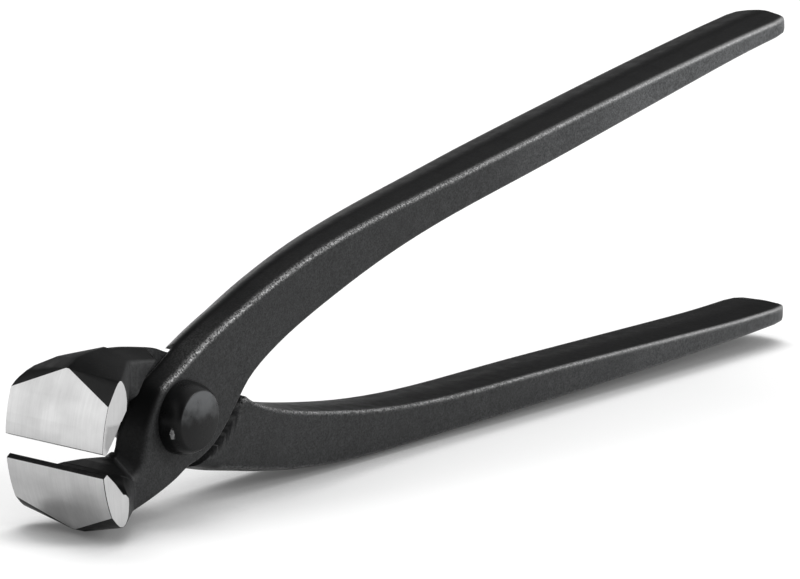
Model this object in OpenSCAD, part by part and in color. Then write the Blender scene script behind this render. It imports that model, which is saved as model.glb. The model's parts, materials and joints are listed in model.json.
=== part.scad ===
// End cutting nippers: two alike forged levers, crossed and lapped at one large rivet.
// Millimetres. X runs from the jaws to the handles, Y along the rivet, Z up.
// The tool stands on its edge, on the lower jaw and on the lower handle.
// Each lever is drawn closed, with the rivet's axis through zero, then opened and set on the ground.

/* [Whole tool] */
// From the rivet's axis to the end of the handles
handle_reach = 194; // [150:0.5:240]
// From the rivet's axis to the cutting edges
jaw_reach = 28; // [24:0.5:32]
// Angle between the levers as the tool stands
rest_opening = 6.2; // [0:0.1:20]
// Angle between the levers at the open stop
max_opening = 26; // [20:1:30]

/* [Joint] */
// Thickness of both levers together at the joint
joint_thickness = 9.4; // [8:0.1:12]
// From the rivet's axis to the nearest edge of a lever
joint_radius = 8.7; // [8:0.1:10]
// Radius of the round step that each jaw's neck ends in
shoulder_radius = 13.3; // [12.5:0.1:14]
// Gap between the two lapped faces
lap_gap = 0.2; // [0.1:0.05:0.4]
// Gap between a lever's edge and the other lever's step, when closed
shoulder_gap = 0.2; // [0.15:0.05:0.6]

/* [Handles] */
// From the tool's centre line to a handle's outer edge, near its end
handle_rise = 21.2; // [17:0.2:26]
// Width of a handle at its end
handle_end_width = 13; // [9:0.5:15]
// How far the middle of a handle's outer side stands above its corners
handle_crown = 0.9; // [0.3:0.1:1.5]
// Corner radius of the handles
handle_corner = 1.1; // [0.6:0.1:1.6]
// Corner radius of the upper handle's outer side at the back
front_back_corner = 2.4; // [1.2:0.1:2.8]
// Corner radius of the lower handle's outer side at the front
rear_back_corner = 1.2; // [0.8:0.1:2.8]

/* [Jaws] */
// Length of the cutting edges
jaw_width = 21; // [17:0.5:25]
// From the cutting edge down to the low point of the jaw's front face
jaw_height = 12.8; // [11:0.2:15]
// Radius of the rounded front face
face_radius = 24.5; // [22:0.5:34]
// Depth of a jaw at its side, from front to back
jaw_depth = 6.4; // [5.5:0.1:7.5]
// Height of the small front bevel along the cutting edge
land_height = 0.6; // [0.3:0.1:0.9]
// Length of the small front bevel along the cutting edge
land_length = 0.9; // [0.5:0.1:1.2]
// Gap between the cutting edges when closed
edge_gap = 0.3; // [0.2:0.1:0.5]

/* [Rivet] */
// Diameter of the rivet's shank
shank_d = 8; // [6:0.5:9]
// Gap all round the shank in the lever that turns on it
shank_gap = 0.05; // [0.02:0.01:0.1]
// Diameter of a rivet head where it meets the lever
head_d = 12.8; // [11:0.2:14]
// Diameter of the flat top of a rivet head
head_flat_d = 10.2; // [9:0.2:10.8]
// Height of a rivet head
head_height = 4.2; // [3:0.1:5]
// Gap between a rivet head and the lever under it
head_gap = 0.05; // [0.02:0.01:0.1]

/* [Hidden] */
$fn = 64;
overrun = 1;
forged_black = "#2b2d2d";
rivet_black = "#1d1e1f";

half_joint = joint_thickness / 2;
half_width = jaw_width / 2;

// Pieces of each rounded corner and of each stretch of an edge.
corner_steps = 4;
curve_steps = 4;
// Reach of the soft ridge in the middle of a lever's inner and outer side.
ridge_share = 0.25;
// Most of a side that one rounded corner may take.
side_share = 0.7;
// Reach of the back corner along the outer side, to its reach along the back.
back_stretch = 1.5;

// Edges of the closed front lever from its neck to its handle's end, in matching pairs.
// Neck and joint: [along, up, height of the ridge over the corners] as shares of joint_radius.
joint_upper_shares = [
    [-1.64, -0.84, 0.44], [-1.36, -0.70, 0.50], [-1.15, -0.39, 0.50], [-0.99, 0.02, 0.37],
    [-0.83, 0.33, 0.19], [-0.50, 0.72, 0.09], [0.02, 0.91, 0.11], [0.63, 1.14, 0.14],
    [1.30, 1.36, 0.12], [2.02, 1.55, 0.10],
];
joint_lower_shares = [
    [-1.70, -1.42, 0.24], [-1.24, -1.37, 0.22], [-0.74, -1.29, 0.20], [-0.28, -1.19, 0.19],
    [0.10, -1.07, 0.15], [0.52, -1.02, 0.06], [0.95, -0.87, 0.03], [1.32, -0.62, 0.03],
    [1.70, -0.27, 0.03], [2.30, 0.20, 0.03],
];
// Handle: [share of the length past the crotch, share of handle_rise].
handle_upper_shares = [
    [0.055, 0.744], [0.134, 0.842], [0.226, 0.892], [0.341, 0.917],
    [0.526, 0.959], [0.728, 0.991], [0.88, 1.000], [0.965, 0.994],
];
handle_lower_shares = [
    [0.066, 0.246], [0.146, 0.394], [0.238, 0.519], [0.347, 0.602],
    [0.526, 0.668], [0.728, 0.757], [0.88, 0.822], [0.965, 0.840],
];
crotch_share = 2.1;
crotch_reach = joint_radius * crotch_share;
handle_length = handle_reach - crotch_reach;

inner_crown_share = 0.3;
inner_crown = handle_crown * inner_crown_share;
function handle_point(p, crown) = [crotch_reach + p.x * handle_length, p.y * handle_rise, crown];
upper_points = concat(
    [for (p = joint_upper_shares) p * joint_radius],
    [for (p = handle_upper_shares) handle_point(p, handle_crown)]
);
lower_points = concat(
    [for (p = joint_lower_shares) p * joint_radius],
    [for (p = handle_lower_shares) handle_point(p, inner_crown)]
);

function unit(v) = v / norm(v);
function blend(a, b, t) = a + (b - a) * t;
function clamp(t) = max(0, min(1, t));
function polar(r, a) = [r * cos(a), r * sin(a)];
function flat(p) = [p.x, p.y];

// A smooth curve through points, with curve_steps pieces between each two.
function spline_point(a, b, c, d, t) =
    (b * 2 + (c - a) * t + (a * 2 - b * 5 + c * 4 - d) * t * t
    + (b * 3 - a - c * 3 + d) * t * t * t) / 2;
function spline(points) = [
    for (i = [0 : len(points) - 2])
        let (before = points[max(i - 1, 0)], after = points[min(i + 2, len(points) - 1)])
            for (k = [0 : curve_steps - 1])
                spline_point(before, points[i], points[i + 1], after, k / curve_steps),
    points[len(points) - 1],
];

upper_edge = spline(upper_points);
lower_edge = spline(lower_points);
last_edge = len(upper_edge) - 1;

// Points of the soft curve that rounds corner b of the outline a, b, c.
// It starts and ends the two given reaches away from b.
function rounded(a, b, c, reach) =
    let (
        start = b + unit(a - b) * min(reach[0], norm(a - b) * side_share),
        end = b + unit(c - b) * min(reach[1], norm(c - b) * side_share)
    )
    [
        for (k = [0 : corner_steps])
            let (t = k / corner_steps) blend(blend(start, b, t), blend(b, end, t), t)
    ];

// One cross-section of a lever as [across, up] points: six sides, a ridge above and below.
function section(depth, half, crown_up, crown_down, top, bottom, back, drop) =
    let (
        outline = [
            [-half, 0], [-half, depth], [0, depth + crown_up],
            [half, depth - drop], [half, 0], [0, -crown_down],
        ],
        ridge = half * ridge_share,
        reaches = [
            [bottom, bottom], [top, top], [ridge, ridge],
            [back * back_stretch, back], [bottom, bottom], [ridge, ridge],
        ]
    )
    [
        for (i = [0 : 5])
            each rounded(outline[(i + 5) % 6], outline[i], outline[(i + 1) % 6], reaches[i])
    ];

// The same section stood between an upper and a lower edge point, in X, Y and Z.
function ring(upper, lower, half, crown_up, crown_down, top, bottom, back, drop) =
    let (rise = unit(upper - lower), depth = norm(upper - lower))
    [
        for (p = section(depth, half, crown_up, crown_down, top, bottom, back, drop))
            let (q = lower + rise * p.y) [q.x, p.x, q.y]
    ];

function half_thickness(x) = blend(half_joint, handle_end_width / 2, clamp(x / handle_reach));

// Rings of an edge are counted from the neck: the joint's are from joint_start to joint_end.
joint_end = (len(joint_lower_shares) - 1) * curve_steps;
joint_start = joint_end / 3;
joint_fade = joint_end / 2;

// Inner corners along a lever: sharp at the joint, softer along the handle.
sharp_share = 0.3;
soft_share = 0.7;
function bottom_corner(i) = handle_corner * (i < joint_end
    ? max(clamp(1 - i / joint_start), sharp_share)
    : blend(sharp_share, soft_share, clamp((i - joint_end) / curve_steps)));

// The outer corner at the back: as the others at the neck, full at the joint, less at the end.
thin_start_share = 0.375;
thin_end_share = 0.5;
back_drop_share = 1.5;
function joint_share(i) = clamp((i - joint_start) / joint_start);
function thin_share(i) = clamp((i / last_edge - thin_start_share) / (1 - thin_start_share));
function back_reach(i, back) = blend(handle_corner, back, joint_share(i))
    * blend(1, thin_end_share, thin_share(i));
// The outer side also falls toward the back, but only at the joint.
function back_drop(i, back) = (back - handle_corner) * back_drop_share
    * joint_share(i) * clamp((joint_end + joint_fade - i) / joint_fade);

function lever_ring(i, back) = ring(
    flat(upper_edge[i]), flat(lower_edge[i]), half_thickness(upper_edge[i].x),
    upper_edge[i].z, lower_edge[i].z, handle_corner, bottom_corner(i),
    back_reach(i, back), back_drop(i, back)
);

// The rounded end of a handle, drawn in along an arc.
end_upper = flat(upper_edge[last_edge]);
end_lower = flat(lower_edge[last_edge]);
end_reach = handle_reach - end_upper.x;
end_half = half_thickness(end_upper.x);
end_angles = [30, 50, 66, 78, 87];
// Powers below one make the end squarer than a half circle, most of all in its height.
narrow_power = 0.5;
shrink_power = 0.3;
function end_ring(angle, back) =
    let (
        narrow = pow(cos(angle), narrow_power),
        shrink = pow(cos(angle), shrink_power),
        middle = (end_upper + end_lower) / 2 + [end_reach * sin(angle), 0],
        half_depth = (end_upper - end_lower) / 2 * shrink
    )
    ring(
        middle + half_depth, middle - half_depth, end_half * narrow,
        handle_crown * shrink, inner_crown * shrink,
        handle_corner * shrink, bottom_corner(last_edge) * shrink,
        back_reach(last_edge, back) * shrink, 0
    );

function lever_rings(back) = concat(
    [for (i = [0 : last_edge]) lever_ring(i, back)],
    [for (angle = end_angles) end_ring(angle, back)]
);

// A closed solid through a list of rings with the same number of points.
module loft(rings) {
    size = len(rings[0]);
    last = len(rings) - 1;
    sides = [
        for (i = [0 : last - 1])
            for (k = [0 : size - 1])
                let (
                    a = i * size + k,
                    b = i * size + (k + 1) % size
                )
                each [[a, b, b + size], [a, b + size, a + size]]
    ];
    near = [for (k = [size - 1 : -1 : 0]) k];
    far = [for (k = [0 : size - 1]) last * size + k];
    polyhedron(points = [for (r = rings) each r], faces = concat(sides, [near, far]));
}

// Jaw of the front lever. It hangs below the cutting edge, which is at no height when closed.
face_centre = face_radius - jaw_reach;
function face_point(down) = [
    face_centre - sqrt(face_radius * face_radius - down * down), -down
];
face_steps = 6;
function face_arc(down) = [for (k = [0 : face_steps]) face_point(down * k / face_steps)];

// Outline of the flat side of a jaw: front face, outer slopes, back and inner bevel.
// The points are [share of jaw_depth back from the front, share of jaw_height down].
// The sides are ground by hand: the lower jaw's are alike, the upper jaw's front one is higher.
lower_corner_share = 0.63;
lower_side_shares = [
    [0.37, 0.74], [0.50, 0.81], [0.63, 0.835], [0.75, 0.81], [0.86, 0.74],
    [0.92, 0.64], [0.95, 0.54], [0.95, 0.47],
];
upper_corner_share = 0.65;
upper_back_shares = [
    [0.38, 0.705], [0.53, 0.745], [0.68, 0.755], [0.82, 0.72], [0.91, 0.64],
    [0.95, 0.54], [0.95, 0.47],
];
upper_front_shares = [
    [0.42, 0.79], [0.52, 0.87], [0.62, 0.93], [0.70, 0.955], [0.78, 0.94],
    [0.87, 0.88], [0.95, 0.78], [0.99, 0.66], [0.97, 0.53],
];
edge_drop = edge_gap / 2;
edge_start = -jaw_reach + land_length;
function jaw_side(corner_share, shares) = concat(
    face_arc(jaw_height * corner_share),
    [for (p = shares) [-jaw_reach + p.x * jaw_depth, -p.y * jaw_height]],
    [[edge_start, 0]]
);
// Outline of the jaw at its middle, where the outer ridge runs down to the neck.
// The ridge bulges over a straight line: [share of the way to the neck, share of jaw_height].
bulge_shares = [[0.25, 0.065], [0.6, 0.05]];
neck_low = flat(lower_edge[0]) - [0, lower_edge[0].z];
neck_high = flat(upper_edge[0]) + [0, upper_edge[0].z];
peak = face_point(jaw_height);
jaw_middle = concat(
    face_arc(jaw_height),
    [
        for (p = bulge_shares)
            blend(peak, neck_low, p.x) - [0, p.y * jaw_height]
    ],
    [
        neck_low,
        neck_high,
        [edge_start, 0],
    ]
);
lower_sides = [
    jaw_side(lower_corner_share, lower_side_shares),
    jaw_side(lower_corner_share, lower_side_shares),
];
upper_sides = [
    jaw_side(upper_corner_share, upper_back_shares),
    jaw_side(upper_corner_share, upper_front_shares),
];
// The slope at the back of the upper jaw bulges.
// The points are [share of half_width across, share of jaw_depth back, share of jaw_height down].
upper_slope_shares = [
    [0.90, 0.66, 0.835], [0.81, 0.80, 0.90], [0.67, 0.95, 0.96],
    [0.48, 1.09, 1.04], [0.29, 1.17, 1.09],
];
side_sliver = 0.05;
ridge_flat = 0.5;

module slab(outline, from, to) {
    translate([0, to, 0])
        rotate([90, 0, 0])
            linear_extrude(height = to - from)
                polygon(outline);
}

// A thin slice of a jaw from its cutting edge out to one point of its slope, on the -Y side.
module slope_point(shares) {
    slab(
        [
            [-jaw_reach + shares.y * jaw_depth, -shares.z * jaw_height],
            [edge_start, 0],
            [edge_start, -land_height],
        ],
        -shares.x * half_width,
        -shares.x * half_width + side_sliver
    );
}

// The two sides are those at -Y and at +Y, before the rear lever is turned over.
module jaw_blank(sides, slope_shares) {
    hull() {
        for (shares = slope_shares) slope_point(shares);
        slab(sides[0], -half_width, -half_width + side_sliver);
        slab(sides[1], half_width - side_sliver, half_width);
        slab(jaw_middle, -ridge_flat / 2, ridge_flat / 2);
        loft([lever_ring(0, handle_corner), lever_ring(1, handle_corner)]);
    }
}

// The space behind and above the cutting edge: the front land, the inner bevel and the throat.
// Throat points are [share of jaw_reach, share of jaw_height down], down to the ridge's inner end.
throat_shares = [
    [0.895, 0.20], [0.83, 0.40], [0.79, 0.41], [0.73, 0.35], [0.67, 0.30],
    [0.60, 0.27], [0.50, 0.27],
];
land_slope = (land_height - edge_drop) / land_length;
throat = concat(
    [
        [-jaw_reach - overrun, -land_height - overrun * land_slope],
        [-jaw_reach, -land_height],
        [edge_start, -edge_drop],
    ],
    [for (p = throat_shares) [-p.x * jaw_reach, -p.y * jaw_height]],
    [neck_high, neck_high + [0, jaw_height], [-jaw_reach - overrun, jaw_height]]
);

module throat_cut() {
    slab(throat, -half_width - overrun, half_width + overrun);
}

// How far the other lever reaches at an angle about the rivet, over the whole swing.
edge_table = [
    for (i = [joint_end + curve_steps : -1 : 0])
        let (p = lower_edge[i]) [atan2(p.y, p.x), norm(flat(p)) + p.z]
];
edge_polar = [for (i = [len(edge_table) - 1 : -1 : 0]) edge_table[i]];
swing_step = 2;
function swept_radius(angle) = shoulder_gap + max([
    for (turn = [0 : swing_step : max_opening]) lookup(-angle - turn, edge_polar)
]);

// The half-thick recess of a lever, which takes the other lever. It is cut from the far side.
recess_top_angle = 112;
recess_bottom_angle = 250;
far_reach = crotch_reach * 2;
recess = concat(
    [for (a = [-8 : 4 : recess_top_angle]) polar(swept_radius(a), a)],
    [for (a = [recess_top_angle + 4 : 6 : recess_bottom_angle]) polar(shoulder_radius, a)],
    [[shoulder_radius * cos(recess_bottom_angle), -far_reach], [far_reach, -far_reach]]
);

module recess_cut() {
    slab(recess, -lap_gap / 2, half_width);
}

module bore(diameter) {
    rotate([90, 0, 0])
        cylinder(h = joint_thickness + 2 * overrun, d = diameter, center = true);
}

module closed_lever(bore_d, back, sides, slope_shares) {
    difference() {
        union() {
            loft(lever_rings(back));
            difference() {
                jaw_blank(sides, slope_shares);
                throat_cut();
            }
        }
        recess_cut();
        bore(bore_d);
    }
}

// Ground line: the tool rests on the lower jaw's ridge and on the lower handle's outer side.
half_open = rest_opening / 2;
function turned(p, angle) = [
    p.x * cos(angle) - p.y * sin(angle), p.x * sin(angle) + p.y * cos(angle)
];
function slope(a, b) = atan2(b.y - a.y, b.x - a.x);
rear_points = [
    for (r = lever_rings(rear_back_corner)) for (p = r) if (p.x > crotch_reach) [p.x, -p.z]
];
jaw_feet = [for (p = jaw_middle) turned(p, half_open)];
handle_feet = [for (p = rear_points) turned(p, -half_open)];
pitch = -max([for (a = jaw_feet) min([for (b = handle_feet) slope(a, b)])]);
pivot_height = -min([for (p = jaw_feet) turned(p, pitch).y]);
jaw_end = face_centre * cos(pitch - half_open) - face_radius;
handle_end = max([for (p = handle_feet) turned(p, pitch).x]);
pivot_x = -(jaw_end + handle_end) / 2;

module stand() {
    translate([pivot_x, 0, pivot_height])
        rotate([0, -pitch, 0])
            children();
}

module front_lever() {
    color(forged_black)
        stand()
            rotate([0, -half_open, 0])
                closed_lever(shank_d + 2 * shank_gap, front_back_corner, lower_sides, []);
}

// The rear lever is the same forging turned over about the tool's long axis.
module rear_lever() {
    color(forged_black)
        stand()
            rotate([0, half_open, 0])
                rotate([180, 0, 0])
                    closed_lever(shank_d, rear_back_corner, upper_sides, upper_slope_shares);
}

// Half of a head's outline: a bulging wall and a flat top.
head_base = half_joint + head_gap;
wall_steps = 6;
module rivet_head() {
    rotate_extrude()
        polygon(concat(
            [[0, head_base], [head_d / 2, head_base]],
            [
                for (k = [1 : wall_steps])
                    let (a = 90 * k / wall_steps)
                        [
                            blend(head_flat_d / 2, head_d / 2, cos(a)),
                            head_base + head_height * sin(a),
                        ]
            ],
            [[0, head_base + head_height]]
        ));
}

module rivet() {
    color(rivet_black)
        stand()
            rotate([90, 0, 0]) {
                cylinder(h = 2 * head_base, d = shank_d, center = true);
                rivet_head();
                mirror([0, 0, 1])
                    rivet_head();
            }
}

front_lever();
rear_lever();
rivet();
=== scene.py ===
import json
import math

import bmesh
import bpy
from mathutils import Matrix, Vector


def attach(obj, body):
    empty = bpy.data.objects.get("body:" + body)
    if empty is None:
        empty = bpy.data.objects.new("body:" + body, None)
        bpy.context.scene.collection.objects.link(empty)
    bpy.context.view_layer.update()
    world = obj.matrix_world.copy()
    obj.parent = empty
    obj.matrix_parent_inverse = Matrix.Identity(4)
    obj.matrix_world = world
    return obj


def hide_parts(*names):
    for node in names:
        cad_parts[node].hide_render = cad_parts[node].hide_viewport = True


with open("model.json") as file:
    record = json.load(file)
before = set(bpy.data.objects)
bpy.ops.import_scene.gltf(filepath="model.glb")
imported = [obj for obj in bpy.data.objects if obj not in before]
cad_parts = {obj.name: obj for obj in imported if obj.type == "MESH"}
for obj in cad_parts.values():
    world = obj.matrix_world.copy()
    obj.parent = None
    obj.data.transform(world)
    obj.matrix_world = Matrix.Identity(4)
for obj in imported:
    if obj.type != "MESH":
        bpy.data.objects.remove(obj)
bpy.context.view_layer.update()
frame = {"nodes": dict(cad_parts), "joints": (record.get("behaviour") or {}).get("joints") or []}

# End cutting nippers: two lapped forged levers on one rivet, on a white studio floor.
# Metres here, but lengths in the dictionaries are millimetres and angles are degrees.
# A fade is (where it starts, where it ends); stops are (noise value, what holds there).
millimetre = 0.001

tool = {
    "pitch": 5.544,         # how far the jaws point down as the tool stands
    "opening": 6.2,         # angle between the levers at rest
    "jawReach": 28.0,       # rivet axis to the cutting edges
    "faceRadius": 24.5,     # radius of the rounded jaw faces
    "halfJawWidth": 10.5,
    "halfJoint": 4.7,       # half the thickness of both levers at the rivet
}
hinge = Vector(frame["joints"][0]["pos_m"])
print("frame loaded, hinge at", [round(value, 4) for value in hinge])


# Helpers for nodes and objects.

def newFinish(name):
    material = bpy.data.materials.new(name)
    material.use_nodes = True
    return material, material.node_tree, material.node_tree.nodes["Principled BSDF"]


def addNode(tree, kind, inputs=None, **settings):
    node = tree.nodes.new(kind)
    for key, value in settings.items():
        setattr(node, key, value)
    for key, value in (inputs or {}).items():
        if isinstance(value, bpy.types.NodeSocket):
            tree.links.new(value, node.inputs[key])
        else:
            node.inputs[key].default_value = value
    return node


def mathNode(tree, operation, a, b=0.0, clamp=False):
    return addNode(tree, "ShaderNodeMath", {0: a, 1: b}, operation=operation, use_clamp=clamp).outputs[0]


def vectorNode(tree, operation, first, second, output="Vector"):
    node = addNode(tree, "ShaderNodeVectorMath", {0: first, 1: second}, operation=operation)
    return node.outputs[output]


def partsNode(tree, vector):
    return addNode(tree, "ShaderNodeSeparateXYZ", {0: vector}).outputs


def grey(value, warmth=0.0):
    return (value * (1 + warmth), value, value * (1 - warmth), 1.0)


def leverPlace(tree, stretch=(1, 1, 1)):
    # place on the lever in millimetres, in the closed tool's frame, each axis times its stretch
    place = addNode(tree, "ShaderNodeAttribute", attribute_name="leverPlace").outputs["Vector"]
    return vectorNode(tree, "MULTIPLY", place, stretch)


def axisDistance(tree):
    # distance from the rivet's axis in millimetres
    return vectorNode(tree, "LENGTH", leverPlace(tree, (1, 0, 1)), (0, 0, 0), "Value")


def noiseNode(tree, place, scale, detail=3.0, roughness=0.55):
    inputs = {"Vector": place, "Scale": scale, "Detail": detail, "Roughness": roughness}
    return addNode(tree, "ShaderNodeTexNoise", inputs).outputs["Fac"]


def rampNode(tree, factor, stops):
    node = addNode(tree, "ShaderNodeValToRGB", {"Fac": factor})
    ramp = node.color_ramp
    while len(ramp.elements) < len(stops):
        ramp.elements.new(0.5)
    for element, (position, colour) in zip(ramp.elements, stops):
        element.position = position
        element.color = colour if isinstance(colour, tuple) else grey(colour)
    return node.outputs["Color"]


def mixColour(tree, factor, first, second, blendType="MIX"):
    node = addNode(tree, "ShaderNodeMix", {"Factor": factor}, data_type="RGBA", blend_type=blendType)
    for socket, value in ((node.inputs[6], first), (node.inputs[7], second)):
        if isinstance(value, bpy.types.NodeSocket):
            tree.links.new(value, socket)
        else:
            socket.default_value = value
    return node.outputs[2]


def bumpNode(tree, height, strength, depth, normal=None):
    inputs = {"Height": height, "Strength": strength, "Distance": depth * millimetre}
    if normal is not None:
        inputs["Normal"] = normal
    return addNode(tree, "ShaderNodeBump", inputs).outputs["Normal"]


def fadeNode(tree, value, start, end, first=0.0, last=1.0):
    # from first to last while value goes from start to end
    return addNode(tree, "ShaderNodeMapRange", {0: value, 1: start, 2: end, 3: first, 4: last},
                   interpolation_type="SMOOTHSTEP").outputs[0]


def newObject(name, data):
    thing = bpy.data.objects.new(name, data)
    bpy.context.scene.collection.objects.link(thing)
    return thing


def directionOf(azimuth, elevation):
    # unit vector from the hinge: azimuth 0 is straight in front of the tool, 90 is to its right
    turn, lift = math.radians(azimuth), math.radians(elevation)
    return Vector((math.sin(turn) * math.cos(lift), -math.cos(turn) * math.cos(lift), math.sin(lift)))


# Forged black skin of both levers.

noiseBand = (0.3, 0.7)      # most noise values lie between these

forgedSkin = {
    "colour": 0.030,        # open flat sides
    "pitColour": 0.007,     # pits and scale
    "pitFade": (0.34, 0.60),        # grain values from pits to open skin
    "patchTones": (0.84, 1.12),     # soft lighter and darker patches
    "peelTones": (0.72, 1.15),
    "coolness": 0.03,       # how much less red than blue the skin is
    "narrowColourAndShade": 0.005,  # smooth narrow sides, necks and throats, darker partly by their finish, partly by painted shade
    "flatFade": (0.40, 0.90),       # how far across a side faces, from narrow to broad
    "flatSlack": 0.25,
    "levelFade": (0.985, 0.998),    # a facet that faces straight across is always broad
    "tipLightFade": (60, 190),  # painted light: from here to the handle's end the skin is painted lighter, where more light falls on it
    "grainSize": 0.33,      # fine blasted grain
    "grainBump": 0.55,
    "grainDepth": 0.035,
    "peelSize": 0.85,       # orange peel of the scale
    "peelBump": 0.45,
    "peelDepth": 0.06,
    "mottleSize": 2.6,      # soft hammer mottle
    "mottleBump": 0.5,
    "mottleDepth": 0.05,
    "patchScale": 0.06,     # patches to a millimetre
    "roughness": 0.52,
    "narrowRoughness": 0.40,
    "roughSpread": (-0.05, 0.06),   # what the mottle adds to the roughness
    "wearAndHighlightSmooth": 0.08,   # what full rubbing and painted highlight take from it
    "specular": 0.25,
    "wornAndHighlightColour": 0.52,     # rubbed corners, bare steel, and a painted highlight along the upper corners
    "wearAndHighlightNarrowing": 1.8,   # above one, the rubbed and painted highlight line is narrower than the corner
    "underside": 0.30,      # rubbing and painted highlight of the lower corners, to that of the upper ones, which catch more light
    "undersideFade": (-0.2, 0.3),
    "jawSideFade": (-0.75, -0.55),  # corners that face the jaws more than this get neither rubbing nor painted highlight
    "handleSide": 4.0,      # keeps the rubbing and painted highlight that set in round the rivet on the handle's side of it
    "speckleStops": ((0.42, 0.05), (0.64, 1.0)),
    "smoothWearAndHighlight": (60, 190),        # along here the rubbing and painted highlight turn from specks to a line
    "smoothShare": 0.55,
}


def flatShare(tree):
    # 1 on the broad flat sides of a lever, 0 on its narrow sides and on the walls of its recess
    shading = addNode(tree, "ShaderNodeTexCoord").outputs["Normal"]
    facet = addNode(tree, "ShaderNodeNewGeometry").outputs["True Normal"]
    soft, hard = (mathNode(tree, "ABSOLUTE", partsNode(tree, normal)["Y"]) for normal in (shading, facet))
    least = mathNode(tree, "MINIMUM", soft, mathNode(tree, "ADD", hard, forgedSkin["flatSlack"]))
    level = fadeNode(tree, hard, *forgedSkin["levelFade"])
    return mathNode(tree, "MAXIMUM", fadeNode(tree, least, *forgedSkin["flatFade"]), level)


def edgeMask(tree, reach):
    # strongest half way round the corners between a lever's flat sides and its upper side, only
    # the underside's share of that at the lower corners, and nothing on the jaws' side
    # rubbing, and a painted highlight that favours the upper corners, where more light falls
    bevel = addNode(tree, "ShaderNodeBevel", {"Radius": reach * millimetre}, samples=6)
    parts = partsNode(tree, bevel.outputs["Normal"])
    square = mathNode(tree, "MULTIPLY", parts["Y"], parts["Y"])
    rest = mathNode(tree, "SUBTRACT", 1.0, square)
    product = mathNode(tree, "MULTIPLY", square, rest)      # a quarter at most, half way round
    halfWay = mathNode(tree, "MULTIPLY", product, 4.0, clamp=True)
    corner = mathNode(tree, "POWER", halfWay, forgedSkin["wearAndHighlightNarrowing"])
    length = mathNode(tree, "SQRT", mathNode(tree, "MAXIMUM", rest, 0.01))
    sideways = mathNode(tree, "DIVIDE", parts["X"], length)
    corner = mathNode(tree, "MULTIPLY", corner, fadeNode(tree, sideways, *forgedSkin["jawSideFade"]))
    lower = fadeNode(tree, parts["Z"], *forgedSkin["undersideFade"], forgedSkin["underside"], 1.0)
    return mathNode(tree, "MULTIPLY", corner, lower)


def wearAndHighlightShare(tree, settings, grain):
    # 1 where a corner is rubbed to bare steel and carries a painted highlight
    along = partsNode(tree, leverPlace(tree))["X"]
    start = along
    if settings["wearAndHighlightRound"]:
        start = mathNode(tree, "MINIMUM", axisDistance(tree),
                         mathNode(tree, "MULTIPLY", along, forgedSkin["handleSide"]))
    reach = fadeNode(tree, start, *settings["wearAndHighlightStart"], 0.0, settings["wearAndHighlight"])
    rubbed = mathNode(tree, "MULTIPLY", edgeMask(tree, settings["wearAndHighlightReach"]), reach)
    smooth = fadeNode(tree, along, *forgedSkin["smoothWearAndHighlight"], 0.0, forgedSkin["smoothShare"])
    speckle = mixColour(tree, smooth, rampNode(tree, grain, forgedSkin["speckleStops"]), grey(1.0))
    return mathNode(tree, "MULTIPLY", rubbed, speckle, clamp=True)


def skinColour(tree, settings, grain, peel, broad):
    cool = -forgedSkin["coolness"]
    tones = grey(forgedSkin["pitColour"], cool), grey(forgedSkin["colour"], cool)
    skin = rampNode(tree, grain, list(zip(forgedSkin["pitFade"], tones)))
    patches = noiseNode(tree, leverPlace(tree), forgedSkin["patchScale"], detail=2.0)
    for share, tones in ((patches, forgedSkin["patchTones"]), (peel, forgedSkin["peelTones"])):
        skin = mixColour(tree, 1.0, skin, rampNode(tree, share, list(zip(noiseBand, tones))), "MULTIPLY")
    along = partsNode(tree, leverPlace(tree))["X"]
    # painted light: the skin turns lighter toward the handle's end
    tipLight = fadeNode(tree, along, *forgedSkin["tipLightFade"], 1.0, settings["tipLightTone"])
    skin = mixColour(tree, 1.0, skin, tipLight, "MULTIPLY")
    # narrow sides, necks and throats take a darker colour: partly their smoother finish, partly painted
    # shade
    return mixColour(tree, broad, grey(forgedSkin["narrowColourAndShade"], cool), skin)


def makeForgedSkin(name, settings):
    material, tree, shader = newFinish(name)
    place = leverPlace(tree)
    grain = noiseNode(tree, place, 1 / forgedSkin["grainSize"], detail=4.0, roughness=0.7)
    peel = noiseNode(tree, place, 1 / forgedSkin["peelSize"], detail=2.0, roughness=0.6)
    mottle = noiseNode(tree, place, 1 / forgedSkin["mottleSize"])
    wall = addNode(tree, "ShaderNodeAttribute", attribute_name="recessWall").outputs["Fac"]
    broad = mathNode(tree, "MAXIMUM", flatShare(tree), wall)
    rubbed = wearAndHighlightShare(tree, settings, grain)
    skin = skinColour(tree, settings, grain, peel, broad)
    # bare steel and a painted highlight along the rubbed corners
    colour = mixColour(tree, rubbed, skin, grey(forgedSkin["wornAndHighlightColour"]))
    tree.links.new(colour, shader.inputs["Base Color"])
    tree.links.new(mathNode(tree, "MULTIPLY", rubbed, settings["bareAndHighlightShine"]), shader.inputs["Metallic"])

    base = fadeNode(tree, broad, 0.0, 1.0, forgedSkin["narrowRoughness"], forgedSkin["roughness"])
    rough = mathNode(tree, "ADD", base, fadeNode(tree, mottle, *noiseBand, *forgedSkin["roughSpread"]))
    smoothing = mathNode(tree, "MULTIPLY", rubbed, forgedSkin["wearAndHighlightSmooth"])
    tree.links.new(mathNode(tree, "SUBTRACT", rough, smoothing), shader.inputs["Roughness"])
    shader.inputs["Specular IOR Level"].default_value = forgedSkin["specular"]

    soft = bumpNode(tree, mottle, forgedSkin["mottleBump"], forgedSkin["mottleDepth"])
    soft = bumpNode(tree, peel, forgedSkin["peelBump"], forgedSkin["peelDepth"], soft)
    fine = bumpNode(tree, grain, forgedSkin["grainBump"], forgedSkin["grainDepth"], soft)
    tree.links.new(fine, shader.inputs["Normal"])
    return material


# Ground jaw faces and ground jaw sides.

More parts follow.
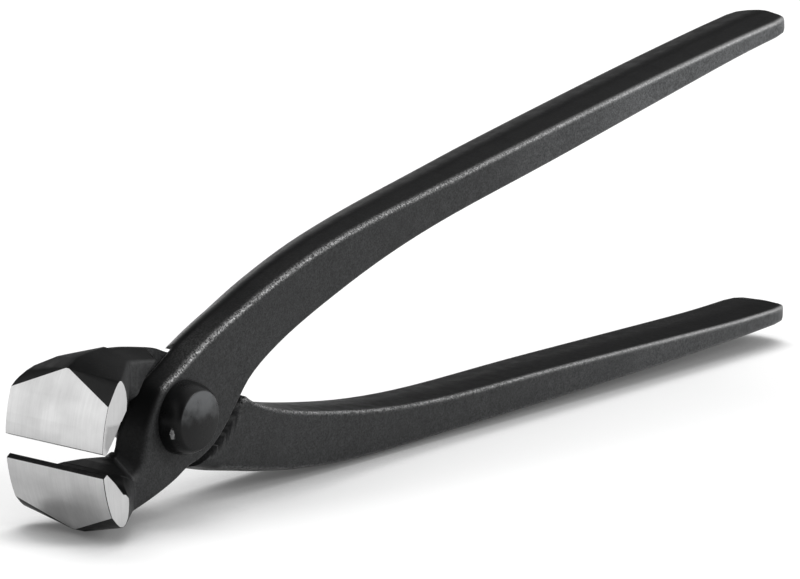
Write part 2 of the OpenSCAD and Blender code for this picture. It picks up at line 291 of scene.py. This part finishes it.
groundSteel = {
    "markBump": 0.5,        # grinding marks
    "markDepth": 0.005,
    "markStops": ((0.25, 0.93), (0.65, 1.0)),
    "roughStops": ((0.25, 0.05), (0.7, -0.03)),     # what the marks add to the roughness
    "cloudScale": 0.16,     # clouds to a millimetre
    "cloudFade": (0.30, 0.62),
    "grainScale": 5.0,
    "grainBump": 0.25,
    "grainDepth": 0.01,
    # markSize is the size of a mark along the lever, across it and up: all marks run up and down
    "face": {"colour": 0.80, "cloud": 0.66, "roughness": 0.34, "markSize": (6.0, 0.34, 6.0)},
    "side": {"colour": 0.66, "cloud": 0.58, "roughness": 0.46, "markSize": (0.34, 1.0, 6.0)},
}


def makeGroundSteel(name, settings):
    material, tree, shader = newFinish(name)
    place = leverPlace(tree)
    stretched = leverPlace(tree, [1 / size for size in settings["markSize"]])
    marks = noiseNode(tree, stretched, 1.0, roughness=0.6)
    clouds = noiseNode(tree, place, groundSteel["cloudScale"], roughness=0.5)
    grain = noiseNode(tree, place, groundSteel["grainScale"], detail=2.0)

    tones = zip(groundSteel["cloudFade"], (settings["cloud"], settings["colour"]))
    metal = rampNode(tree, clouds, list(tones))
    metal = mixColour(tree, 1.0, metal, rampNode(tree, marks, groundSteel["markStops"]), "MULTIPLY")
    tree.links.new(metal, shader.inputs["Base Color"])
    shader.inputs["Metallic"].default_value = 1.0

    stops = [(value, settings["roughness"] + more) for value, more in groundSteel["roughStops"]]
    tree.links.new(rampNode(tree, marks, stops), shader.inputs["Roughness"])
    soft = bumpNode(tree, marks, groundSteel["markBump"], groundSteel["markDepth"])
    fine = bumpNode(tree, grain, groundSteel["grainBump"], groundSteel["grainDepth"], soft)
    tree.links.new(fine, shader.inputs["Normal"])
    return material


# Levers.

levers = {
    "front": {
        "node": "front_lever",
        "slot": "forged_steel_front",
        "sign": 1,              # the rear lever is the same forging turned over, so it has -1
        "wearAndHighlight": 0.85,           # how bare the corners are rubbed and how bright their painted highlight is
        "wearAndHighlightReach": 0.7,       # how far the rubbing and painted highlight reach from them
        "wearAndHighlightRound": False,     # True where it sets in round the rivet's axis, not along the lever
        "wearAndHighlightStart": (-10, -4),     # from none to full, this far from the axis or along the lever
        "tipLightTone": 4.6,        # how many times lighter the handle's end is painted, a painted highlight
        "bareAndHighlightShine": 1.0,       # how much of the bare steel and painted highlight shines as metal, the rest is dull
    },
    "rear": {
        "node": "rear_lever",
        "slot": "forged_steel_rear",
        "sign": -1,
        "wearAndHighlight": 1.0,
        "wearAndHighlightReach": 1.35,
        "wearAndHighlightRound": True,
        "wearAndHighlightStart": (15.2, 16.6),
        "tipLightTone": 2.5,
        "bareAndHighlightShine": 0.55,
    },
    "sharpAngle": 32,       # corners steeper than this stay crisp
    "edgeBevel": 0.10,      # small break on the crisp edges of the jaws
    "faceSlack": 0.04,      # how near the ground surface a face has to be to count as ground
    "groundEnd": -15.0,     # nothing nearer to the rivet than this is ground
    "levelReach": 26.0,     # the flat sides stay free of soft shading this far from the rivet
    "levelFacing": 0.98,
    "wallStart": 4.0,       # the recess has its outer wall beyond this along the lever
    "wallEnd": 19.0,        # and nearer to the rivet's axis than this
    "wallFacing": 0.5,
    "mergeReach": 0.002,    # corners nearer than this are one
    "sliverReach": 0.001,
}


def toLever(point, sign):
    # a point of the standing tool in the closed frame of a lever, in millimetres
    turn = math.radians(tool["pitch"] + sign * tool["opening"] / 2)
    offset = (point - hinge) / millimetre
    along = offset.x * math.cos(turn) + offset.z * math.sin(turn)
    up = offset.z * math.cos(turn) - offset.x * math.sin(turn)
    return Vector((along, sign * offset.y, sign * up))


def groundKind(face, places):
    # 1 for the rounded jaw face, 2 for the flat jaw sides, 0 for forged skin
    slack = levers["faceSlack"]
    points = [places[vertex.index] for vertex in face.verts]
    centreLine = tool["faceRadius"] - tool["jawReach"]
    if max(point.x for point in points) > levers["groundEnd"]:
        return 0
    radii = [math.hypot(point.x - centreLine, point.z) for point in points]
    if max(radii) - min(radii) < slack and abs(radii[0] - tool["faceRadius"]) < slack:
        return 1
    if all(abs(abs(point.y) - tool["halfJawWidth"]) < slack for point in points):
        return 2
    return 0


def levelAtJoint(face):
    # the flat sides round the joint are shaded flat, so they take nothing from the recess's wall
    centre = face.calc_center_median() - hinge
    near = math.hypot(centre.x, centre.z) < levers["levelReach"] * millimetre
    return near and abs(face.normal.y) > levers["levelFacing"]


def recessWall(polygon, sign):
    # 1 on the wall of the recess on the handle's side, which faces the rivet's axis
    centre = toLever(polygon.center, sign)
    normal = toLever(polygon.center + polygon.normal * millimetre, sign) - centre
    distance = math.hypot(centre.x, centre.z)
    towardAxis = -(normal.x * centre.x + normal.z * centre.z) / max(distance, 0.1)
    inside = centre.x > levers["wallStart"] and distance < levers["wallEnd"]
    upright = towardAxis > levers["wallFacing"] and abs(normal.y) < levers["wallFacing"]
    return 1.0 if inside and upright else 0.0


def sortFaces(form, sign):
    # each face gets its finish, and flat or soft shading
    places = [toLever(vertex.co, sign) for vertex in form.verts]
    for face in form.faces:
        face.material_index = groundKind(face, places)
        face.smooth = face.material_index != 2 and not levelAtJoint(face)


def breakEdges(form):
    # a small break along the crisp edges of the ground faces
    crisp = []
    for edge in form.edges:
        if len(edge.link_faces) == 2:
            kinds = {face.material_index for face in edge.link_faces}
            if len(kinds) > 1 and edge.calc_face_angle(0) > math.radians(levers["sharpAngle"]):
                crisp.append(edge)
    bmesh.ops.bevel(form, geom=crisp, offset=levers["edgeBevel"] * millimetre, segments=2,
                    profile=0.5, affect="EDGES", clamp_overlap=True)


def makeLever(name, settings, finishes):
    source = frame["nodes"][settings["node"]]
    form = bmesh.new()
    form.from_mesh(source.data)
    bmesh.ops.remove_doubles(form, verts=form.verts, dist=levers["mergeReach"] * millimetre)
    bmesh.ops.dissolve_degenerate(form, edges=form.edges, dist=levers["sliverReach"] * millimetre)
    form.verts.index_update()
    form.normal_update()
    sortFaces(form, settings["sign"])
    breakEdges(form)

    mesh = bpy.data.meshes.new(name)
    form.to_mesh(mesh)
    form.free()
    mesh.set_sharp_from_angle(angle=math.radians(levers["sharpAngle"]))
    place = mesh.attributes.new("leverPlace", "FLOAT_VECTOR", "POINT")
    for vertex, item in zip(mesh.vertices, place.data):
        item.vector = toLever(vertex.co, settings["sign"])
    wall = mesh.attributes.new("recessWall", "FLOAT", "FACE")
    for polygon, item in zip(mesh.polygons, wall.data):
        item.value = recessWall(polygon, settings["sign"])
    for finish in finishes:
        mesh.materials.append(finish)

    piece = newObject(name, mesh)
    weighted = piece.modifiers.new("flat sides stay flat", "WEIGHTED_NORMAL")
    weighted.keep_sharp = True
    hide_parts(settings["node"])
    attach(piece, settings["node"])


groundFace = makeGroundSteel("groundFace", groundSteel["face"])
groundSide = makeGroundSteel("groundSide", groundSteel["side"])
for key in ("front", "rear"):
    skin = makeForgedSkin(key + "ForgedSkin", levers[key])
    makeLever(key + "Lever", levers[key], [skin, groundFace, groundSide])
    print("built the", key, "lever")


# Rivet.

rivet = {
    "headRadius": 6.4,      # where a head meets the lever
    "flatRadius": 5.1,
    "headHeight": 4.2,
    "seatGap": 0.05,
    "shankRadius": 4.0,
    "footInset": 0.25,      # a head is a little narrower right at the lever
    "wallSteps": 14,        # pieces up the rounded wall of a head
    "wallPower": 1.4,       # above one, the wall leans in sooner than a quarter ellipse
    "steps": 96,            # pieces round the rivet
    "dome": 0.35,           # how much the middle of a head stands above the edge of its disc
    "domeShares": (0.96, 0.9, 0.8, 0.65, 0.5, 0.3, 0.15, 0.0),     # rings of the dome, inwards
    "sharpAngle": 40,
    "wallColour": 0.006,
    "discColour": 0.004,
    "discBorder": 0.15,     # half the width over which wall turns into disc
    "discHighlightColour": 0.13,   # painted highlight: the upper part of the discs is painted lighter, where light falls on it
    "discHighlightFrom": (-0.8, 4.5),      # heights over the rivet's axis between which the painted highlight sets in
    "rubbedWander": 0.9,    # how much the mottle shifts those heights
    "discHighlightMetal": 0.7,
    "glint": (-5.85, -7.3, -2.1),    # painted highlight: a small glint on the wall of the front head
    "glintColour": 0.75,
    "glintReach": 0.55,
    "glintShare": 0.36,      # its width, to its height
    "glintWander": 0.08,
    "mottleScale": 0.35,
    "mottleBump": 0.4,
    "mottleDepth": 0.12,
    "grainScale": 3.5,
    "grainBump": 0.3,
    "grainDepth": 0.02,
    "roughness": 0.30,
    "roughSpread": (-0.06, 0.08),
    "specular": 0.17,
}


def discHighlightShare(tree, mottle, disc):
    # 1 on the upper part of each disc, where a highlight is painted
    wander = fadeNode(tree, mottle, *noiseBand, -rivet["rubbedWander"], rivet["rubbedWander"])
    height = mathNode(tree, "ADD", partsNode(tree, leverPlace(tree))["Z"], wander)
    return mathNode(tree, "MULTIPLY", disc, fadeNode(tree, height, *rivet["discHighlightFrom"]))


def glintShare(tree, grain):
    # 1 on the small glint painted on the front head's wall
    tall = Vector((1, 1, rivet["glintShare"]))
    distance = vectorNode(tree, "DISTANCE", leverPlace(tree, tall), Vector(rivet["glint"]) * tall, "Value")
    wander = fadeNode(tree, grain, *noiseBand, -rivet["glintWander"], rivet["glintWander"])
    return fadeNode(tree, mathNode(tree, "ADD", distance, wander),
                    rivet["glintReach"] / 2, rivet["glintReach"], 1.0, 0.0)


def makeRivetFinish():
    material, tree, shader = newFinish("rivetBlack")
    mottle = noiseNode(tree, leverPlace(tree), rivet["mottleScale"])
    grain = noiseNode(tree, leverPlace(tree), rivet["grainScale"])
    rim, border = rivet["flatRadius"], rivet["discBorder"]
    disc = fadeNode(tree, axisDistance(tree), rim - border, rim + border, 1.0, 0.0)
    discHighlight = discHighlightShare(tree, mottle, disc)
    glint = glintShare(tree, grain)

    cool = -forgedSkin["coolness"]
    colour = mixColour(tree, disc, grey(rivet["wallColour"], cool), grey(rivet["discColour"], cool))
    # painted highlight on the upper part of each disc
    colour = mixColour(tree, discHighlight, colour, grey(rivet["discHighlightColour"], cool))
    # painted highlight: a small bright glint on the front head's wall
    colour = mixColour(tree, glint, colour, grey(rivet["glintColour"]))
    tree.links.new(colour, shader.inputs["Base Color"])
    discHighlightMetalShare = mathNode(tree, "MULTIPLY", discHighlight, rivet["discHighlightMetal"])
    tree.links.new(mathNode(tree, "MAXIMUM", discHighlightMetalShare, glint), shader.inputs["Metallic"])
    shader.inputs["Specular IOR Level"].default_value = rivet["specular"]

    stops = [(value, rivet["roughness"] + more) for value, more in zip(noiseBand, rivet["roughSpread"])]
    tree.links.new(rampNode(tree, mottle, stops), shader.inputs["Roughness"])
    soft = bumpNode(tree, mottle, rivet["mottleBump"], rivet["mottleDepth"])
    fine = bumpNode(tree, grain, rivet["grainBump"], rivet["grainDepth"], soft)
    tree.links.new(fine, shader.inputs["Normal"])
    return material


def rivetProfile():
    # (radius, height over the middle plane) of half the rivet, from the middle out
    flat, shank = rivet["flatRadius"], rivet["shankRadius"]
    base = tool["halfJoint"] + rivet["seatGap"]
    wall = rivet["headRadius"] - flat
    rim = rivet["headHeight"] - rivet["dome"]
    points = [(shank, 0.0), (shank, base), (rivet["headRadius"] - rivet["footInset"], base)]
    for step in range(rivet["wallSteps"] + 1):
        angle = math.radians(90 * step / rivet["wallSteps"])
        points.append((flat + wall * math.cos(angle) ** rivet["wallPower"], base + rim * math.sin(angle)))
    for share in rivet["domeShares"]:
        points.append((flat * share, base + rim + rivet["dome"] * (1 - share ** 2)))
    return points


def rivetForm():
    # the outline of the whole rivet turned about its axis
    form = bmesh.new()
    profile = rivetProfile()
    outline = [(radius, -height) for radius, height in reversed(profile[1:])] + profile
    turn = 2 * math.pi / rivet["steps"]
    rings = []
    for radius, height in outline:
        if radius == 0:
            rings.append([form.verts.new((0, -height, 0))])
            continue
        rings.append([form.verts.new((radius * math.cos(k * turn), -height, radius * math.sin(k * turn)))
                      for k in range(rivet["steps"])])
    for first, second in zip(rings, rings[1:]):
        for k in range(rivet["steps"]):
            corners = [first[k % len(first)], first[(k + 1) % len(first)],
                       second[(k + 1) % len(second)], second[k % len(second)]]
            form.faces.new(list(dict.fromkeys(corners)))
    bmesh.ops.recalc_face_normals(form, faces=form.faces)
    return form


def makeRivet():
    form = rivetForm()
    mesh = bpy.data.meshes.new("rivet")
    form.to_mesh(mesh)
    form.free()
    place = mesh.attributes.new("leverPlace", "FLOAT_VECTOR", "POINT")
    for vertex, item in zip(mesh.vertices, place.data):
        item.vector = vertex.co
    mesh.transform(Matrix.Translation(hinge) @ Matrix.Scale(millimetre, 4))
    mesh.shade_smooth()
    mesh.set_sharp_from_angle(angle=math.radians(rivet["sharpAngle"]))
    mesh.materials.append(makeRivetFinish())
    piece = newObject("rivetHead", mesh)
    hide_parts("rivet")
    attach(piece, "rear_lever")


makeRivet()
print("built the rivet")


# Studio: floor, world, lamps.

studio = {
    "floorSize": 8000,
    "floorColour": 0.82,
    "floorGrain": 0.01,     # how much lighter and darker the paper's fibres are
    "fibreScale": 900.0,    # fibres to a metre
    "floorRoughness": 0.9,
    "floorGlow": 0.19,      # only for the camera, so the open floor is white there
    "contactReach": 15,     # how near the tool the floor turns darker than its shadow
    "contactShade": 0.44,
    "contactFade": (0.30, 0.80),    # how open the floor is, from full shade to none
    "darkSpot": (25, 90),           # metal sees the floor dark near the jaws and white further off
    "spotPlace": (-56.0, 28.0),     # middle of that dark floor, from the rivet, along and across
    "spotColour": 0.60,
    "mattWorld": 0.50,      # even light for matt surfaces
    "darkWorld": 0.03,      # what shiny surfaces see between the bright walls
    "wallCore": 3,          # a wall is fully bright within its width divided by this
    "walls": {              # direction, width and brightness of each bright wall
        "left": ((-0.86, 0.46, 0.14), 0.55, 1.0),
        "frontRight": ((0.49, -0.50, 0.62), 0.50, 0.9),
        "backLow": ((0.56, 0.80, 0.22), 0.09, 0.40),
    },
    "lamps": {
        "frontKey": {"strength": 1.3, "elevation": 30, "azimuth": 30, "softness": 26, "shine": True},
        "backTop": {"strength": 1.5, "elevation": 66, "azimuth": 138, "softness": 34, "shine": False},
    },
}


def mirroredSpot(tree, path):
    # 1 on the part of the floor that metal sees dark, for mirrored rays only
    place = addNode(tree, "ShaderNodeNewGeometry").outputs["Position"]
    along, across = studio["spotPlace"]
    middle = Vector((hinge.x + along * millimetre, across * millimetre, 0))
    distance = vectorNode(tree, "DISTANCE", place, middle, "Value")
    spot = fadeNode(tree, distance, *(reach * millimetre for reach in studio["darkSpot"]), 1.0, 0.0)
    return mathNode(tree, "MULTIPLY", spot, path["Is Glossy Ray"])


def contactShare(tree, path):
    # below 1 on the floor close to the tool, for the camera only
    inputs = {"Distance": studio["contactReach"] * millimetre}
    contact = addNode(tree, "ShaderNodeAmbientOcclusion", inputs, samples=8).outputs["AO"]
    share = fadeNode(tree, contact, *studio["contactFade"], studio["contactShade"], 1.0)
    return mathNode(tree, "MAXIMUM", share, mathNode(tree, "SUBTRACT", 1.0, path["Is Camera Ray"]))


def makeFloorFinish():
    material, tree, shader = newFinish("floorPaper")
    path = addNode(tree, "ShaderNodeLightPath").outputs
    place = addNode(tree, "ShaderNodeTexCoord").outputs["Object"]
    fibres = noiseNode(tree, place, studio["fibreScale"])
    paper, spread = studio["floorColour"], studio["floorGrain"]
    tones = list(zip(noiseBand, (paper - spread, paper + spread)))
    colour = rampNode(tree, fibres, tones)
    colour = mixColour(tree, mirroredSpot(tree, path), colour, grey(studio["spotColour"]))
    openShare = contactShare(tree, path)
    tree.links.new(mixColour(tree, 1.0, colour, openShare, "MULTIPLY"), shader.inputs["Base Color"])
    shader.inputs["Roughness"].default_value = studio["floorRoughness"]
    shader.inputs["Specular IOR Level"].default_value = 0.0
    shader.inputs["Emission Color"].default_value = (1, 1, 1, 1)
    glow = mathNode(tree, "MULTIPLY", path["Is Camera Ray"], studio["floorGlow"])
    tree.links.new(mathNode(tree, "MULTIPLY", glow, openShare), shader.inputs["Emission Strength"])
    return material


def makeFloor():
    mesh = bpy.data.meshes.new("floor")
    half = studio["floorSize"] * millimetre / 2
    corners = [(-half, -half, 0), (half, -half, 0), (half, half, 0), (-half, half, 0)]
    mesh.from_pydata(corners, [], [(0, 1, 2, 3)])
    floor = newObject("floor", mesh)
    mesh.materials.append(makeFloorFinish())


def makeWorld():
    # shiny surfaces see white walls and dark between them, matt ones an even grey, the camera white
    world = bpy.data.worlds.new("studioWalls")
    bpy.context.scene.world = world
    world.use_nodes = True
    tree = world.node_tree
    direction = addNode(tree, "ShaderNodeTexCoord").outputs["Generated"]
    seen = studio["darkWorld"]
    for middle, width, brightness in studio["walls"].values():
        nearness = vectorNode(tree, "DOT_PRODUCT", direction, Vector(middle).normalized(), "Value")
        core = 1 - width / studio["wallCore"]
        wall = fadeNode(tree, nearness, 1 - width, core, 0.0, brightness)
        seen = mathNode(tree, "MAXIMUM", wall, seen)
    path = addNode(tree, "ShaderNodeLightPath").outputs
    matt = mixColour(tree, path["Is Diffuse Ray"], seen, grey(studio["mattWorld"]))
    colour = mixColour(tree, path["Is Camera Ray"], matt, grey(1.0))
    tree.links.new(colour, tree.nodes["Background"].inputs["Color"])


def makeLamp(name, settings):
    lamp = bpy.data.lights.new(name, "SUN")
    lamp.energy = settings["strength"]
    lamp.angle = math.radians(settings["softness"])
    away = directionOf(settings["azimuth"], settings["elevation"])
    thing = newObject(name, lamp)
    thing.location = hinge + away
    thing.rotation_euler = away.to_track_quat("Z", "Y").to_euler()
    thing.visible_glossy = settings["shine"]


makeFloor()
makeWorld()
for name, settings in studio["lamps"].items():
    makeLamp(name, settings)
bpy.context.scene.view_settings.view_transform = "Standard"
print("studio ready")


# Camera.

camera = {
    "fromHinge": (-623.5, -498.5, 193.0),
    "azimuth": -54.217,
    "elevation": 12.039,
    "roll": 2.316,
    "lens": 217.11,
    "sensor": 36.0,
    "nearest": 10,          # nothing nearer to the camera than this is drawn
}


def makeCamera():
    data = bpy.data.cameras.new("camera")
    data.lens = camera["lens"]
    data.sensor_width = camera["sensor"]
    data.clip_start = camera["nearest"] * millimetre
    view = newObject("camera", data)
    back = directionOf(camera["azimuth"], camera["elevation"])
    right = directionOf(camera["azimuth"] + 90, 0)
    up = back.cross(right)
    turned = Matrix((right, up, back)).transposed() @ Matrix.Rotation(math.radians(camera["roll"]), 3, "Z")
    place = hinge + Vector(camera["fromHinge"]) * millimetre
    view.matrix_world = Matrix.Translation(place) @ turned.to_4x4()
    bpy.context.scene.camera = view


makeCamera()
print("camera ready")
